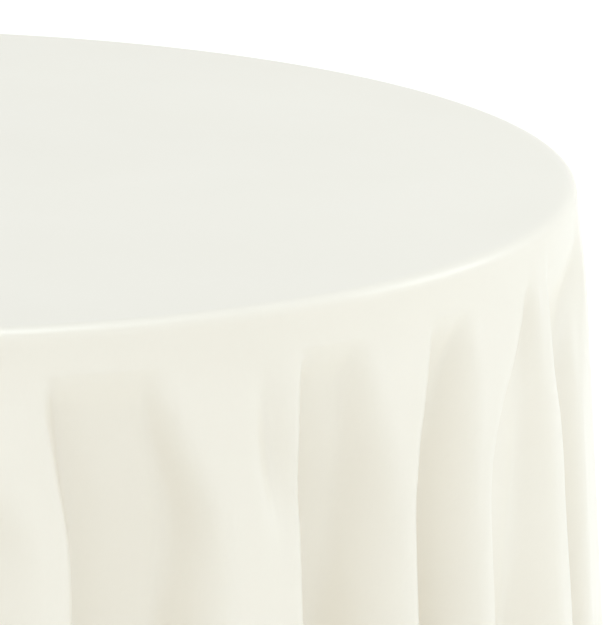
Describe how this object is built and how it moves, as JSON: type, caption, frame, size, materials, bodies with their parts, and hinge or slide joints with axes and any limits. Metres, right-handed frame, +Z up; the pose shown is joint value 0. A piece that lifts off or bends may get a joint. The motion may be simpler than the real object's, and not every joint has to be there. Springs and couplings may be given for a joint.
{
  "type": "clothed folding table",
  "caption": "Round folding table under a floor-length satin tablecloth that hangs in deep even folds and lifts off.",
  "frame": {"origin": "centre of the footprint on the floor", "axes": "+Z up, +X towards leg frame A, Y along the leg pivots"},
  "size_m": [1.6378, 1.6378, 0.764],
  "materials": {
    "satin": "ivory satin, soft sheen",
    "thread": "ivory sewing thread",
    "label_cloth": "white woven label, blank",
    "plywood": "varnished plywood",
    "moulding": "dark vinyl, satin",
    "leg_steel": "grey powder coat",
    "zinc": "zinc plated",
    "stay_steel": "zinc plated strip",
    "nylon": "natural nylon",
    "foot_rubber": "black rubber"
  },
  "bodies": {
    "table": {"top_panel": "plywood", "apron_1": "plywood", "apron_2": "plywood", "apron_3": "plywood", "apron_4": "plywood", "edge_moulding": "moulding", "rail_left": "leg_steel", "rail_screws_left": "zinc", "rail_right": "leg_steel", "rail_screws_right": "zinc", "pivot_bush_a_left": "nylon", "pivot_bush_a_right": "nylon", "pivot_bush_b_left": "nylon", "pivot_bush_b_right": "nylon"},
    "leg_a": {"pivot_rod_a": "zinc", "crossbar_a": "leg_steel", "leg_tube_a_left": "leg_steel", "foot_a_left": "foot_rubber", "stay_rivet_a_left": "zinc", "rod_cap_a_left": "zinc", "leg_tube_a_right": "leg_steel", "foot_a_right": "foot_rubber", "stay_rivet_a_right": "zinc", "rod_cap_a_right": "zinc"},
    "leg_b": {"pivot_rod_b": "zinc", "crossbar_b": "leg_steel", "leg_tube_b_left": "leg_steel", "foot_b_left": "foot_rubber", "stay_rivet_b_left": "zinc", "rod_cap_b_left": "zinc", "leg_tube_b_right": "leg_steel", "foot_b_right": "foot_rubber", "stay_rivet_b_right": "zinc", "rod_cap_b_right": "zinc"},
    "stay_a_left": {"stay_a_left": "stay_steel", "slot_pin_a_left": "zinc"},
    "stay_a_right": {"stay_a_right": "stay_steel", "slot_pin_a_right": "zinc"},
    "stay_b_left": {"stay_b_left": "stay_steel", "slot_pin_b_left": "zinc"},
    "stay_b_right": {"stay_b_right": "stay_steel", "slot_pin_b_right": "zinc"},
    "cloth": {"tablecloth": "satin", "hem_band": "satin", "hem_stitching": "thread", "care_label": "label_cloth"}
  },
  "joints": [
    {"name": "leg_a_fold", "type": "hinge", "parent": "table", "child": "leg_a", "pos_m": [0.42, 0, 0.7], "axis": [0, 1, 0], "range_deg": [0, 93.5]},
    {"name": "stay_a_left_swing", "type": "hinge", "parent": "leg_a", "child": "stay_a_left", "pos_m": [0.42672, 0, 0.5902], "axis": [0, 1, 0], "range_deg": [-158.52, 0]},
    {"name": "stay_a_right_swing", "type": "hinge", "parent": "leg_a", "child": "stay_a_right", "pos_m": [0.42672, 0, 0.5902], "axis": [0, 1, 0], "range_deg": [-158.52, 0]},
    {"name": "leg_b_fold", "type": "hinge", "parent": "table", "child": "leg_b", "pos_m": [-0.42, 0, 0.666], "axis": [0, -1, 0], "range_deg": [0, 93.5]},
    {"name": "stay_b_left_swing", "type": "hinge", "parent": "leg_b", "child": "stay_b_left", "pos_m": [-0.42672, 0, 0.5562], "axis": [0, -1, 0], "range_deg": [-158.52, 0]},
    {"name": "stay_b_right_swing", "type": "hinge", "parent": "leg_b", "child": "stay_b_right", "pos_m": [-0.42672, 0, 0.5562], "axis": [0, -1, 0], "range_deg": [-158.52, 0]},
    {"name": "cloth_lift", "type": "slide", "parent": "table", "child": "cloth", "axis": [0, 0, 1], "range_m": [0, 0.8]}
  ],
  "couplings": [
    {"joint": "stay_a_left_swing", "follows": "leg_a_fold", "ratio": -1.6954},
    {"joint": "stay_a_right_swing", "follows": "leg_a_fold", "ratio": -1.6954},
    {"joint": "stay_b_left_swing", "follows": "leg_b_fold", "ratio": -1.6954},
    {"joint": "stay_b_right_swing", "follows": "leg_b_fold", "ratio": -1.6954}
  ]
}
